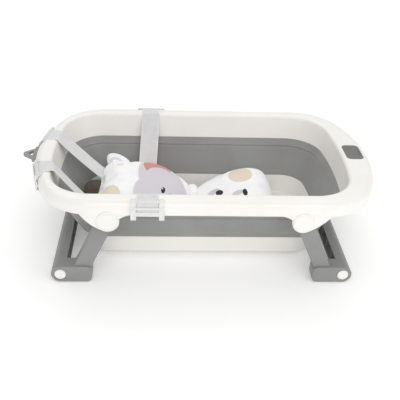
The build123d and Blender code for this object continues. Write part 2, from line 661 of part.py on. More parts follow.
def strap_clip():
    """Ladder clip hooked over the rim. Local frame: skirt face at Y = 0, outwards +Y."""
    back = CLIP_GAP
    front = CLIP_GAP + CLIP_THICKNESS + 1
    bar_back = STRAP_THICKNESS + 0.5
    bend_z = RIM_TOP_Z - CROWN_OUTER_RADIUS
    side = rectangle_between(back, CLIP_HOOK_Z, front, bend_z)
    side = side + clip_section(0, CLIP_CROWN_END, CROWN_OUTER_RADIUS + back, CROWN_OUTER_RADIUS + front)
    hook_y = -SKIN - CLIP_HOOK_REACH
    side = side + rectangle_between(hook_y, CLIP_HOOK_Z, front, CLIP_HOOK_Z + CLIP_THICKNESS)
    side = side + rectangle_between(hook_y, CLIP_HOOK_Z, hook_y + CLIP_THICKNESS, SKIRT_BOTTOM_Z + 5)
    bars = clip_section(*CLIP_CROWN_BAR, CROWN_OUTER_RADIUS + bar_back, CROWN_OUTER_RADIUS + front)
    for low, high in (CLIP_LOW_BAR, CLIP_HIGH_BAR):
        bars = bars + rectangle_between(bar_back, SKIRT_BOTTOM_Z + low, front, SKIRT_BOTTOM_Z + high)
    clip = across(bars, 0, CLIP_WIDTH - CLIP_BAR)
    for way in (-1, 1):
        clip = clip + across(side, way * (CLIP_WIDTH - CLIP_BAR) / 2, CLIP_BAR)
    return clip


def strap(place, crown_width, end):
    """Webbing from under the clip, over the crown and down to its stitching on the cushion."""
    top_z = RIM_TOP_Z + STRAP_LIFT
    corner_y = -crown_width + 1.8
    fall_y = -math.cos(math.radians(STRAP_FALL))
    fall_z = -math.sin(math.radians(STRAP_FALL))
    lead_y = corner_y + STRAP_LEAD * fall_y
    lead_z = top_z + STRAP_LEAD * fall_z
    path = FilletPolyline(
        (STRAP_LIFT, SKIRT_BOTTOM_Z + 6),
        (STRAP_LIFT, top_z),
        (corner_y, top_z),
        (lead_y, lead_z),
        radius=[CROWN_OUTER_RADIUS + STRAP_LIFT, CROWN_INNER_RADIUS + STRAP_LIFT],
    )
    ribbon = make_face(offset(path, amount=STRAP_THICKNESS, side=Side.RIGHT).edges())
    over_rim = place * across(ribbon, 0, STRAP_WIDTH)
    half = STRAP_THICKNESS / 2
    start = place * Pos(0, lead_y + half * fall_z - 2 * fall_y, lead_z - half * fall_y - 2 * fall_z)
    width_way = Plane(start).x_dir
    along = Vector(*end) - start.position
    along = along - width_way * along.dot(width_way)
    webbing = Rectangle(STRAP_WIDTH, STRAP_THICKNESS)
    near = Plane(origin=start.position, x_dir=width_way, z_dir=along) * webbing
    far = Plane(origin=end, x_dir=width_way, z_dir=along) * webbing
    return over_rim + loft([near, far], ruled=True)


def rim_place(x, y):
    """Local frame on the skirt's outer face: +Y outwards, at a point of the long side or of the bowed end."""
    if abs(y) >= RIM_OUTER.half_width:
        return Pos(x, y, 0) * Rot(0, 0, 0 if y > 0 else 180)
    bow_x = RIM_OUTER.left + RIM_OUTER.bow
    turn = math.asin(y / RIM_OUTER.bow)
    place = Pos(bow_x - RIM_OUTER.bow * math.cos(turn), y, 0)
    return place * Rot(0, 0, 90 - math.degrees(turn))


def head_crown_width(y):
    """Largest width of the rim's top under a head strap, square to its outer edge."""
    turn = math.asin(y / RIM_OUTER.bow)
    mouth_turn = math.asin(y / RIM_MOUTH.bow)
    outer_x = RIM_OUTER.left + RIM_OUTER.bow * (1 - math.cos(turn))
    mouth_x = RIM_MOUTH.left + RIM_MOUTH.bow * (1 - math.cos(mouth_turn))
    skew = abs(turn - mouth_turn)
    return (mouth_x - outer_x) * math.cos(turn) + STRAP_WIDTH / 2 * math.tan(skew) + 1


def pad_block(corners, height, edge):
    """Plain block that stands for a soft pad, with its middle at Z = 0."""
    plan = fillet(make_face(Polyline(*corners, close=True)).vertices(), 32.0)
    block = extrude(plan, amount=height / 2, both=True)
    block = fillet(block.edges().filter_by(GeomType.LINE, reverse=True), edge)
    return block


def head_pad():
    """Head cushion: square at the head end, rounded towards the seat."""
    plan = [(-238, 118), (-104, 124), (-20, 30), (-20, -30), (-104, -124), (-254, -118), (-243, 0)]
    block = pad_block(plan, HEAD_PAD_HEIGHT, 24)
    return Pos(HEAD_PAD_X, 0, HEAD_PAD_Z) * Rot(0, HEAD_PAD_TILT, 0) * Pos(-HEAD_PAD_X, 0, 0) * block


def seat_hump():
    """Seat cushion: a wedge that rises towards the foot end and drops off steeply."""
    plan = [(-10, 66), (90, SEAT_SIDE_Y), (198, SEAT_SIDE_Y)]
    plan += [(x, -y) for x, y in reversed(plan)]
    block = Pos(0, 0, (SEAT_BOTTOM_Z + SEAT_TOP_Z) / 2) * pad_block(plan, SEAT_TOP_Z - SEAT_BOTTOM_Z, 28)
    rise = Polyline(
        (-40, SEAT_BOTTOM_Z - 1),
        (-40, SEAT_TOP_Z - 38),
        (120, SEAT_TOP_Z + 1),
        (220, SEAT_TOP_Z + 1),
        (220, SEAT_BOTTOM_Z - 1),
        close=True,
    )
    return block & slab(Plane.XZ * make_face(rise), -200, 200)


def ears():
    """Two soft ears: one stands on the head pad's rear corner, one lies beyond its head end."""
    standing = extrude(Pos(-202, 104, 140) * RectangleRounded(48, 18, 8), amount=18)
    lying = extrude(Pos(-272, 5, 97) * RectangleRounded(36, 76, 16), amount=10)
    return [standing, lying]


# ================================================================ assembly
def mirrored(shape, left, front):
    """A right rear piece turned into its left and front twins."""
    if left:
        shape = mirror(shape, about=Plane.YZ)
    if front:
        shape = mirror(shape, about=Plane.XZ)
    return shape


parts = {"upper_rim": upper_rim()}
parts["soap_rest"] = soap_rest()
bands, tray_outline = wall_bands()
for index, band in enumerate(bands):
    parts[f"wall_band_{index + 1}"] = band
parts["base_tray"] = base_tray(tray_outline)
parts["base_pads"] = Compound(children=base_pads())
parts["drain_seat"] = drain_seat()
parts["drain_plug"] = drain_plug()
parts["plug_seal"] = plug_seal()

leg_shape = leg()
bracket_shape = hinge_bracket()
all_bracket_screws = []
for side in ("left", "right"):
    is_left = side == "left"
    hinge_x = HINGE_MIDDLE_X + (-HINGE_REACH if is_left else HINGE_REACH)
    bushes = []
    pads = []
    screws = []
    for end in ("front", "rear"):
        is_front = end == "front"

        def placed(shape):
            return Pos(hinge_x, 0, 0) * mirrored(shape, is_left, is_front)

        parts[f"{side}_{end}_leg"] = placed(leg_shape)
        parts[f"{side}_{end}_foot_cap"] = placed(foot_cap())
        parts[f"hinge_bracket_{end}_{side}"] = under_rim(placed(bracket_shape))
        parts[f"hinge_pin_{end}_{side}"] = placed(hinge_pin())
        parts[f"hinge_cap_{end}_{side}"] = placed(hinge_cap())
        bushes.append(placed(leg_bush()))
        pads.append(placed(foot_pad()))
        screws.append(placed(foot_screw()))
        all_bracket_screws += [placed(screw) for screw in bracket_screws()]
    parts[f"{side}_crossbar"] = Pos(hinge_x, 0, 0) * mirrored(crossbar(), is_left, False)
    parts[f"{side}_leg_bushes"] = Compound(children=bushes)
    parts[f"{side}_foot_pads"] = Compound(children=pads)
    parts[f"{side}_foot_screws"] = Compound(children=screws)
parts["bracket_screws"] = Compound(children=all_bracket_screws)

parts["hanging_loop"] = hanging_loop()
parts["loop_bracket"] = loop_bracket()
parts["loop_pin"] = loop_pin()

side_width = RIM_OUTER.half_width - RIM_MOUTH.half_width
strap_layout = {}
for name, way in (("front", -1), ("rear", 1)):
    end_point = (SIDE_STRAP_X, way * SIDE_STRAP_END[0], SIDE_STRAP_END[1])
    strap_layout[name] = (rim_place(SIDE_STRAP_X, way * RIM_OUTER.half_width), side_width, end_point)
for name, y, end_point in HEAD_STRAPS:
    strap_layout[name] = (rim_place(0, y), head_crown_width(y), end_point)
for name, (place, width, end_point) in strap_layout.items():
    parts[f"strap_clip_{name}"] = place * strap_clip()
    parts[f"strap_{name}"] = strap(place, width, end_point)

parts["cushion_head"] = head_pad()
parts["cushion_seat"] = seat_hump()
parts["cushion_ears"] = Compound(children=ears())

os.makedirs("parts", exist_ok=True)
for name, shape in parts.items():
    export_step(shape, f"parts/{name}.step")
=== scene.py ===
import json
import math

import bmesh
import bpy
import numpy as np
from mathutils import Matrix, Vector, noise


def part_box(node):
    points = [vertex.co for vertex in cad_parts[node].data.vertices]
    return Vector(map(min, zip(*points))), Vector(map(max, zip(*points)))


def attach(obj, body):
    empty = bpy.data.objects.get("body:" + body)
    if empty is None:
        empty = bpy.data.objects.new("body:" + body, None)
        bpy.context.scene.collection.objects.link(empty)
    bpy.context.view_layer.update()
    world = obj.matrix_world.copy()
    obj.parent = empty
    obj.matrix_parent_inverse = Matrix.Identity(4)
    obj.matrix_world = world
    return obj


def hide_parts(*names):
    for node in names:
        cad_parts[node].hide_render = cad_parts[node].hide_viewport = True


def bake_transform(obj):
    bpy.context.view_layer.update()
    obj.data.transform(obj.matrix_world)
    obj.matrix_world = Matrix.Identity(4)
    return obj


# Looks of a collapsible baby bathtub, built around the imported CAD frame.
# Metres, +X to the foot end, +Y to the rear side, +Z up, floor at Z = 0.

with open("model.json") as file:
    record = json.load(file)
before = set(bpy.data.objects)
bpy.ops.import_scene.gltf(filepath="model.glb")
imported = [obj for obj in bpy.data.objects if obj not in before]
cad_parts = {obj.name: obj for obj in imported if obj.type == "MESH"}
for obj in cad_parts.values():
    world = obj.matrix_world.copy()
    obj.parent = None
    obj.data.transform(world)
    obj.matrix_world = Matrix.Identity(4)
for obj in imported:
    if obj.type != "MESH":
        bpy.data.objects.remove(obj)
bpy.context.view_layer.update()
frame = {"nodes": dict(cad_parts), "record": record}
MM = 0.001


# ================================================================ camera, light and floor
CAMERA_PLACE = Vector((-0.0924, -1.3908, 0.9437))
CAMERA_YAW = -0.074           # radians, about Z, from looking along +Y
CAMERA_PITCH = 0.558          # radians, looking down
CAMERA_ROLL = 0.049
CAMERA_LENS = 57.2            # millimetres
CAMERA_SENSOR = 36.0          # millimetres
TUB_MIDDLE = (0, 0, 0.12)
# name, place, aim, size, power in watts, tint
AREA_LIGHTS = (
    ("front", (0.1, -2.2, 2.3), TUB_MIDDLE, (2.4, 1.8), 26, (1.0, 0.995, 0.985)),
    ("right", (2.4, -1.9, 1.3), TUB_MIDDLE, (1.8, 1.4), 10, (0.99, 0.995, 1.0)),
    ("back", (0, 2.6, 3.0), (0, 2.2, 0), (4.0, 2.0), 42, (1, 1, 1)),
)
WORLD_STRENGTH = 0.66
FLOOR_HALF_WIDTH = 9.0
FLOOR_GLOW = 0.15             # a little light of its own keeps the floor pale under the tub


def add_camera():
    back = Vector((
        math.sin(CAMERA_YAW) * math.cos(CAMERA_PITCH),
        -math.cos(CAMERA_YAW) * math.cos(CAMERA_PITCH),
        math.sin(CAMERA_PITCH),
    ))
    right = (-back).cross(Vector((0, 0, 1))).normalized()
    up = right.cross(-back)
    rolled_right = right * math.cos(CAMERA_ROLL) + up * math.sin(CAMERA_ROLL)
    rolled_up = up * math.cos(CAMERA_ROLL) - right * math.sin(CAMERA_ROLL)
    data = bpy.data.cameras.new("camera")
    data.lens = CAMERA_LENS
    data.sensor_width = CAMERA_SENSOR
    camera = bpy.data.objects.new("camera", data)
    bpy.context.scene.collection.objects.link(camera)
    turn = Matrix((rolled_right, rolled_up, back)).transposed().to_4x4()
    camera.matrix_world = Matrix.Translation(CAMERA_PLACE) @ turn
    bpy.context.scene.camera = camera


def add_area_light(name, place, aim, size, power, tint):
    data = bpy.data.lights.new(name, "AREA")
    data.shape = "RECTANGLE"
    data.size, data.size_y = size
    data.energy = power
    data.color = tint
    light = bpy.data.objects.new(name, data)
    bpy.context.scene.collection.objects.link(light)
    light.location = place
    light.rotation_euler = (Vector(aim) - Vector(place)).to_track_quat("-Z", "Y").to_euler()


def add_lights():
    for light in AREA_LIGHTS:
        add_area_light(*light)
    world = bpy.data.worlds.new("studio")
    world.use_nodes = True
    background = world.node_tree.nodes["Background"]
    background.inputs["Color"].default_value = (1, 1, 1, 1)
    background.inputs["Strength"].default_value = WORLD_STRENGTH
    bpy.context.scene.world = world
    bpy.context.scene.view_settings.view_transform = "Standard"


# ================================================================ materials
class Graph:
    """A small helper that adds nodes to a new material."""

    def __init__(self, name):
        self.material = bpy.data.materials.new(name)
        self.material.use_nodes = True
        self.tree = self.material.node_tree
        self.shader = self.tree.nodes["Principled BSDF"]
        self.place = self.node("ShaderNodeTexCoord").outputs["Object"]

    def node(self, kind, inputs=None, **settings):
        made = self.tree.nodes.new(kind)
        for key, value in settings.items():
            setattr(made, key, value)
        for key, value in (inputs or {}).items():
            self.feed(made.inputs[key], value)
        return made

    def feed(self, socket, value):
        if isinstance(value, bpy.types.NodeSocket):
            self.tree.links.new(value, socket)
        else:
            socket.default_value = value

    def set(self, **values):
        """Values or sockets for the shader, with spaces in names written as underscores."""
        for key, value in values.items():
            self.feed(self.shader.inputs[key.replace("_", " ")], value)

    def math(self, operation, first, second=0.0):
        return self.node("ShaderNodeMath", {0: first, 1: second}, operation=operation).outputs[0]

    def vector(self, operation, first, second=(0, 0, 0)):
        return self.node("ShaderNodeVectorMath", {0: first, 1: second}, operation=operation)

    def spread(self, value, low, high, to_low=0.0, to_high=1.0):
        """Maps a value smoothly from one range to another."""
        inputs = {"Value": value, "From Min": low, "From Max": high, "To Min": to_low, "To Max": to_high}
        return self.node("ShaderNodeMapRange", inputs, interpolation_type="SMOOTHSTEP").outputs["Result"]

    def noise(self, size, detail, place=None, roughness=0.5):
        """Noise whose features are about size metres across."""
        inputs = {
            "Vector": place or self.place,
            "Scale": 1 / size,
            "Detail": detail,
            "Roughness": roughness,
        }
        return self.node("ShaderNodeTexNoise", inputs).outputs["Fac"]

    def mix(self, share, first, second):
        """Mixes two colours. The mix node has sockets of the same name for other types of value."""
        made = self.node("ShaderNodeMix", data_type="RGBA")
        for name, kind, value in (("Factor", "VALUE", share), ("A", "RGBA", first), ("B", "RGBA", second)):
            self.feed(next(s for s in made.inputs if s.name == name and s.type == kind), value)
        return next(s for s in made.outputs if s.type == "RGBA")

    def bump(self, height, distance, strength, normal=None):
        inputs = {"Height": height, "Distance": distance, "Strength": strength}
        if normal is not None:
            inputs["Normal"] = normal
        return self.node("ShaderNodeBump", inputs).outputs["Normal"]


def colour(red, green, blue):
    """Linear colour from 0 to 255 display values."""
    linear = []
    for value in (red, green, blue):
        share = value / 255
        linear.append(share / 12.92 if share <= 0.04045 else ((share + 0.055) / 1.055) ** 2.4)
    return (*linear, 1.0)


# slot: base colour, cloud colour, roughness, size of the mould grain and its depth in metres
PLASTICS = {
    "white_plastic": ((244, 242, 238), (241, 239, 234), 0.34, 0.0011, 0.00002),
    "grey_plastic": ((146, 146, 146), (139, 139, 139), 0.47, 0.0006, 0.00006),
    "soft_grey_tpe": ((150, 150, 148), (142, 142, 140), 0.62, 0.0008, 0.00004),
    "dark_insert": ((121, 121, 120), (112, 112, 111), 0.66, 0.0007, 0.00008),
    "grip_rubber": ((120, 120, 119), (105, 105, 104), 0.75, 0.0012, 0.0001),
    "bush_plastic": ((222, 221, 216), (212, 211, 206), 0.4, 0.0008, 0.00003),
    "drain_plastic": ((150, 150, 149), (142, 142, 141), 0.45, 0.0008, 0.00004),
    "clip_plastic": ((250, 250, 248), (244, 245, 244), 0.24, 0.0015, 0.00002),
}
PLASTIC_EXTRAS = {
    "white_plastic": {
        "Subsurface_Weight": 0.06,
        "Subsurface_Radius": (0.006, 0.005, 0.004),
        "Coat_Weight": 0.08,
        "Coat_Roughness": 0.25,
    },
    "soft_grey_tpe": {"Sheen_Weight": 0.15, "Sheen_Roughness": 0.5},
    "clip_plastic": {
        "Transmission_Weight": 0.22,
        "Subsurface_Weight": 0.2,
        "Subsurface_Radius": (0.004, 0.004, 0.004),
    },
}
PLASTIC_IOR = 1.49
PLASTIC_GLOSS_SPREAD = 0.06   # how far handling marks move the roughness up and down


def moulded_plastic(name, base, cloud, roughness, grain, grain_depth):
    """Injection-moulded plastic: faint cloudy colour, mould grain and handling marks."""
    g = Graph(name)
    clouds = g.spread(g.noise(0.11, 3), 0.35, 0.68)
    g.set(Base_Color=g.mix(clouds, colour(*base), colour(*cloud)))
    smudge = g.noise(0.03, 5, roughness=0.6)
    low = roughness - PLASTIC_GLOSS_SPREAD
    high = roughness + PLASTIC_GLOSS_SPREAD
    g.set(Roughness=g.spread(smudge, 0.3, 0.72, low, high), IOR=PLASTIC_IOR)
    fine = g.noise(grain, 2)
    soft = g.bump(g.noise(0.05, 2), 0.0003, 0.35)
    g.set(Normal=g.bump(fine, grain_depth, 0.5, soft))
    g.set(**PLASTIC_EXTRAS.get(name, {}))
    return g.material


def brushed_steel():
    g = Graph("steel")
    stretched = g.vector("MULTIPLY", g.place, (1, 14, 14)).outputs[0]
    brushed = g.noise(0.004, 3, stretched)
    g.set(Base_Color=g.mix(brushed, colour(196, 196, 194), colour(160, 160, 158)), Metallic=1.0)
    g.set(Roughness=g.spread(brushed, 0.3, 0.7, 0.24, 0.42), Normal=g.bump(brushed, 0.00003, 0.4))
    return g.material


def make_materials():
    made = {name: moulded_plastic(name, *recipe) for name, recipe in PLASTICS.items()}
    made["steel"] = brushed_steel()
    return made


materials = make_materials()


def add_floor():
    mesh = bpy.data.meshes.new("floor")
    half = FLOOR_HALF_WIDTH
    corners = [(-half, -half, 0), (half, -half, 0), (half, half, 0), (-half, half, 0)]
    mesh.from_pydata(corners, [], [(0, 1, 2, 3)])
    floor = bpy.data.objects.new("floor", mesh)
    bpy.context.scene.collection.objects.link(floor)
    g = Graph("floor")
    g.set(Base_Color=g.mix(g.noise(0.8, 2), colour(252, 252, 252), colour(250, 250, 250)), Roughness=0.6)
    g.set(Emission_Color=(1, 1, 1, 1), Emission_Strength=FLOOR_GLOW)
    floor.data.materials.append(g.material)


add_camera()
add_lights()
add_floor()


# ================================================================ carried-over CAD nodes
for row in frame["record"]["subparts"]:
    slot = row["material_slot"]
    if slot in materials:
        mesh = frame["nodes"][row["node"]].data
        mesh.materials.clear()
        mesh.materials.append(materials[slot])


# ================================================================ mesh helpers
TUBE_SIDES = 10


def mesh_piece(name, vertices, faces, material):
    """A new smooth-shaded mesh object in the row frame, with its faces turned outwards."""
    mesh = bpy.data.meshes.new(name)
    mesh.from_pydata([tuple(v) for v in vertices], [], faces)
    mesh.validate()
    piece = bpy.data.objects.new(name, mesh)
    bpy.context.scene.collection.objects.link(piece)
    mesh.materials.append(material)
    tidy = bmesh.new()
    tidy.from_mesh(mesh)
    bmesh.ops.recalc_face_normals(tidy, faces=tidy.faces)
    tidy.to_mesh(mesh)
    tidy.free()
    mesh.shade_smooth()
    return piece


def ring_faces(rows, columns, close_rows=False):
    """Quads between rows of closed rings; close_rows joins the last row back to the first."""
    faces = []
    for r in range(rows if close_rows else rows - 1):
        for c in range(columns):
            nearer = r * columns
            further = (r + 1) % rows * columns
            after = (c + 1) % columns
            faces.append((nearer + c, nearer + after, further + after, further + c))
    return faces


def two_sided_faces(rows, columns):
    """Quads for an upper and a lower stack of rings, rows and rows - 1 of them, that share the first ring.
    Also gives the first vertex of each stack's last ring."""
    lower = rows * columns
    faces = ring_faces(rows, columns)
    faces += [tuple(lower + v for v in face) for face in ring_faces(rows - 1, columns)]
    for c in range(columns):
        after = (c + 1) % columns
        faces.append((c, after, lower + after, lower + c))
    return faces, ((rows - 1) * columns, lower + (rows - 2) * columns)


def keep_modifiers(piece):
    """Applies every modifier to the piece's mesh."""
    depsgraph = bpy.context.evaluated_depsgraph_get()
    final = bpy.data.meshes.new_from_object(piece.evaluated_get(depsgraph))
    piece.modifiers.clear()
    piece.data = final


def refine(piece):
    """Divides every face once more, smoothly."""
    fine = piece.modifiers.new("fine", "SUBSURF")
    fine.levels = 1
    fine.render_levels = 1
    keep_modifiers(piece)
    piece.data.shade_smooth()


def closed_tube(name, points, radius, material):
    """A tube that follows a smooth closed line of points."""
    count = len(points)
    vertices = []
    for i, point in enumerate(points):
        along = (points[(i + 1) % count] - points[i - 1]).normalized()
        side = along.cross(Vector((0, 0, 1))).normalized()
        lift = side.cross(along)
        for k in range(TUBE_SIDES):
            turn = 2 * math.pi * k / TUBE_SIDES
            vertices.append(point + (side * math.cos(turn) + lift * math.sin(turn)) * radius)
    return mesh_piece(name, vertices, ring_faces(count, TUBE_SIDES, True), material)


def catmull_rom(points, steps, closed=False):
    """Points on a smooth curve through the given ones."""
    points = [Vector(p) for p in points]
    count = len(points)
    smooth = []
    for i in range(count if closed else count - 1):
        p0 = points[(i - 1) % count] if closed or i else points[0]
        p1 = points[i]
        p2 = points[(i + 1) % count]
        p3 = points[(i + 2) % count] if closed or i + 2 < count else points[-1]
        for k in range(steps):
            t = k / steps
            smooth.append(0.5 * (
                2 * p1 + (p2 - p0) * t + (2 * p0 - 5 * p1 + 4 * p2 - p3) * t * t
                + (3 * p1 - p0 - 3 * p2 + p3) * t ** 3
            ))
    if not closed:
        smooth.append(points[-1])
    return smooth


# ================================================================ soft folding wall
class Outline:
    """Plan outline: straight long sides, rounded corners and gently bowed ends."""

    END_STEPS = 16
    CORNER_STEPS = 16
    SIDE_STEPS = 30

    def __init__(self, left, right, half_width, corner, bow):
        self.sizes = (left, right, half_width, corner, bow)

    def inset(self, distance):
        left, right, half_width, corner, bow = self.sizes
        return Outline(
            left + distance, right - distance, half_width - distance, corner - distance, bow - distance
        )

    def mixed(self, other, share):
        return Outline(*(a + (b - a) * share for a, b in zip(self.sizes, other.sizes)))

    def rear_half(self):
        """Points from the middle of the foot end, along the rear side, to the middle of the head end."""
        left, right, half_width, corner, bow = self.sizes
        rise = half_width - corner
        run = math.sqrt((bow - corner) ** 2 - rise**2)
        tangent = math.atan2(rise, run)
        quarters = []
        for end_x, way in ((right, 1), (left, -1)):
            bow_x = end_x - way * bow
            quarter = []
            for k in range(self.END_STEPS):
                turn = tangent * k / self.END_STEPS
                quarter.append((bow_x + way * bow * math.cos(turn), bow * math.sin(turn)))
            for k in range(self.CORNER_STEPS + 1):
                turn = tangent + (math.pi / 2 - tangent) * k / self.CORNER_STEPS
                x = bow_x + way * (run + corner * math.cos(turn))
                quarter.append((x, rise + corner * math.sin(turn)))
            quarters.append(quarter)
        start = quarters[0][-1]
        stop = quarters[1][-1]
        side = []
        for k in range(1, self.SIDE_STEPS):
            side.append((start[0] + (stop[0] - start[0]) * k / self.SIDE_STEPS, start[1]))
        return quarters[0] + side + quarters[1][::-1]

    def ring(self, z):
        rear = self.rear_half()
        front = [(x, -y) for x, y in rear[-2:0:-1]]
        return [Vector((x, y, z)) for x, y in rear + front]


SKIN_THICKNESS = 2.5 * MM
TRAY_THICKNESS = 3.0 * MM
WALL_CORNER = 94.5 * MM
WALL_BOW = 882.5 * MM
TRAY_CORNER = 62.9 * MM
TRAY_BOW = 834.0 * MM
# height, and how far the surface stands inwards from a plain sloping wall, in millimetres
INNER_WALL_ROWS = (
    (160.0, 0.1), (159.5, 0.7), (158.6, 1.0), (156.5, 0.7), (150.0, 0.5), (143.4, 0.7), (141.8, 1.3),
    (140.8, 0.4), (140.2, -0.9), (139.6, -0.9), (138.8, 0.5), (137.6, 1.0), (134.0, 0.5), (124.0, 0.0),
    (112.0, -0.3), (100.0, 0.0), (90.0, 0.3), (84.0, 0.5), (80.0, 0.2), (76.0, 0.5), (72.0, 0.5),
    (68.5, 0.4), (66.2, 0.3), (65.6, -0.2),
)
OUTER_WALL_ROWS = (
    (65.6, 0.3), (66.3, -0.4), (69.0, -0.6), (73.0, -0.4), (77.4, -0.4), (79.6, 0.2), (82.0, -0.5),
    (90.0, -0.6), (100.0, -0.4), (112.0, -0.2), (124.0, -0.4), (134.0, -0.8), (138.0, -1.0),
    (139.4, -0.2), (140.2, 0.9), (141.0, -0.2), (142.6, -0.9), (150.0, -0.6), (156.5, -0.6), (159.6, -0.3),
    (160.0, 0.1),
)


def outer_outline(node, corner, bow):
    low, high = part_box(node)
    return Outline(low.x, high.x, high.y, corner, bow)


def add_wall():
    top = outer_outline("wall_band_1", WALL_CORNER, WALL_BOW)
    tray = outer_outline("base_tray", TRAY_CORNER, TRAY_BOW)
    top_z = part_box("wall_band_1")[1].z
    bottom_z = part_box("base_tray")[1].z
    surfaces = (
        (INNER_WALL_ROWS, top.inset(SKIN_THICKNESS), tray.inset(TRAY_THICKNESS)),
        (OUTER_WALL_ROWS, top, tray),
    )
    rings = []
    for rows, above, below in surfaces:
        for height, offset in rows:
            z = height * MM
            share = (top_z - z) / (top_z - bottom_z)
            rings.append(above.mixed(below, share).inset(offset * MM).ring(z))
    columns = len(rings[0])
    vertices = [v for ring in rings for v in ring]
    faces = ring_faces(len(rings), columns, True)
    wall = mesh_piece("wall_skin", vertices, faces, materials["soft_grey_tpe"])
    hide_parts("wall_band_1", "wall_band_2", "wall_band_3", "wall_band_4")
    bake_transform(wall)


add_wall()


# ================================================================ webbing
STRAP_WIDTH = 48.0 * MM
STRAP_THICKNESS = 1.8 * MM
STRAP_LIFT = 0.5 * MM         # under the webbing, above the rim
STRAP_START_Z = 189.0 * MM    # behind the clip
STRAP_RISE = 6.0 * MM         # straight up, before it bends over the crown
STRAP_FALL_STEPS = 10
STRAP_SAG = 0.022             # as a share of the free length
STRAP_RIPPLE = 0.5 * MM
STRAP_COLUMNS = 14
SELVEDGE_SWELL = 0.25         # how much thicker the webbing is near its edges
SELVEDGE_TAPER = 0.55         # how much of the thickness the last of the edge loses
SELVEDGE_START = 21.2 * MM    # from the middle of the webbing
SELVEDGE_END = 22.4 * MM
WARP_PITCH = 1.3 * MM
WEFT_PITCH = 1.1 * MM
STITCH_BOX = (16.0 * MM, 44.0 * MM)  # the sewn box's ends, measured back from the strap's cushion end
STITCH_MARGIN = 4.0 * MM
STITCH_LENGTH = 2.6 * MM
STITCH_GAP = 1.3 * MM
STITCH_RADIUS = 0.32 * MM
STITCH_LIFT = 0.15 * MM
RIM_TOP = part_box("upper_rim")[1].z
RIM_HALF_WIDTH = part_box("upper_rim")[1].y
RIM_HEAD_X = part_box("upper_rim")[0].x
RIM_HEAD_BOW = 420.0 * MM
CROWN_RADIUS = 17.0 * MM
CROWN_STEPS = 6
CROWN_FLAT_SHARE = 0.62       # how far across the rim's top its flat reaches
CROWN_EDGE_RADIUS = 8.0 * MM
CROWN_EDGE_TURN = 52          # degrees that a strap bends over the crown's inner edge
CROWN_EDGE_STEPS = 3
SIDE_LAND = 41.0 * MM         # width of the rim's top along the long sides
HEAD_LAND = 43.0 * MM
# a strap's place round the rim: along X on the long sides, along Y at the head end
SIDE_STRAP_X = -119.0 * MM
HEAD_STRAP_Y = {"head_rear": 74.0 * MM, "head_front": -100.0 * MM}
# where each strap is sewn into the cushion
STRAP_ENDS = {
    "front": Vector((-0.119, -0.126, 0.098)),
    "rear": Vector((-0.127, 0.126, 0.098)),
    "head_rear": Vector((-0.238, 0.070, 0.106)),
    "head_front": Vector((-0.250, -0.084, 0.104)),
}


def strap_place(name):
    """Local frame on the rim's outer face: X across the webbing, +Y outwards."""
    if name in HEAD_STRAP_Y:
        y = HEAD_STRAP_Y[name]
        turn = math.asin(y / RIM_HEAD_BOW)
        place = Vector((RIM_HEAD_X + RIM_HEAD_BOW * (1 - math.cos(turn)), y, 0))
        return Matrix.Translation(place) @ Matrix.Rotation(math.pi / 2 - turn, 4, "Z")
    way = 1 if name == "rear" else -1
    place = Matrix.Translation((SIDE_STRAP_X, way * RIM_HALF_WIDTH, 0))
    return place @ Matrix.Rotation(0 if way > 0 else math.pi, 4, "Z")


def strap_path(name):
    """Centre line of one strap: up behind the clip, over the crown and down to the cushion."""
    place = strap_place(name)
    lift = STRAP_LIFT + STRAP_THICKNESS / 2
    land = HEAD_LAND if name in HEAD_STRAP_Y else SIDE_LAND
    over_rim = [(lift, STRAP_START_Z), (lift, STRAP_START_Z + STRAP_RISE)]
    for k in range(CROWN_STEPS + 1):
        turn = math.pi / 2 * k / CROWN_STEPS
        radius = CROWN_RADIUS + lift
        over_rim.append((
            -CROWN_RADIUS + radius * math.cos(turn), RIM_TOP - CROWN_RADIUS + radius * math.sin(turn)
        ))
    over_rim.append((-land * CROWN_FLAT_SHARE, RIM_TOP + lift))
    edge_radius = CROWN_EDGE_RADIUS + lift
    for k in range(CROWN_EDGE_STEPS + 1):
        turn = math.radians(CROWN_EDGE_TURN) * k / CROWN_EDGE_STEPS
        over_rim.append((
            -land + CROWN_EDGE_RADIUS - edge_radius * math.sin(turn),
            RIM_TOP - CROWN_EDGE_RADIUS + edge_radius * math.cos(turn),
        ))
    points = [place @ Vector((0, y, z)) for y, z in over_rim]
    start = points[-1]
    end = STRAP_ENDS[name]
    sag = STRAP_SAG * (end - start).length
    for k in range(1, STRAP_FALL_STEPS + 1):
        t = (k / STRAP_FALL_STEPS) ** 0.9
        points.append(start.lerp(end, t) - Vector((0, 0, 4 * sag * t * (1 - t))))
    return catmull_rom(points, 3), (place.to_3x3() @ Vector((1, 0, 0))).normalized()


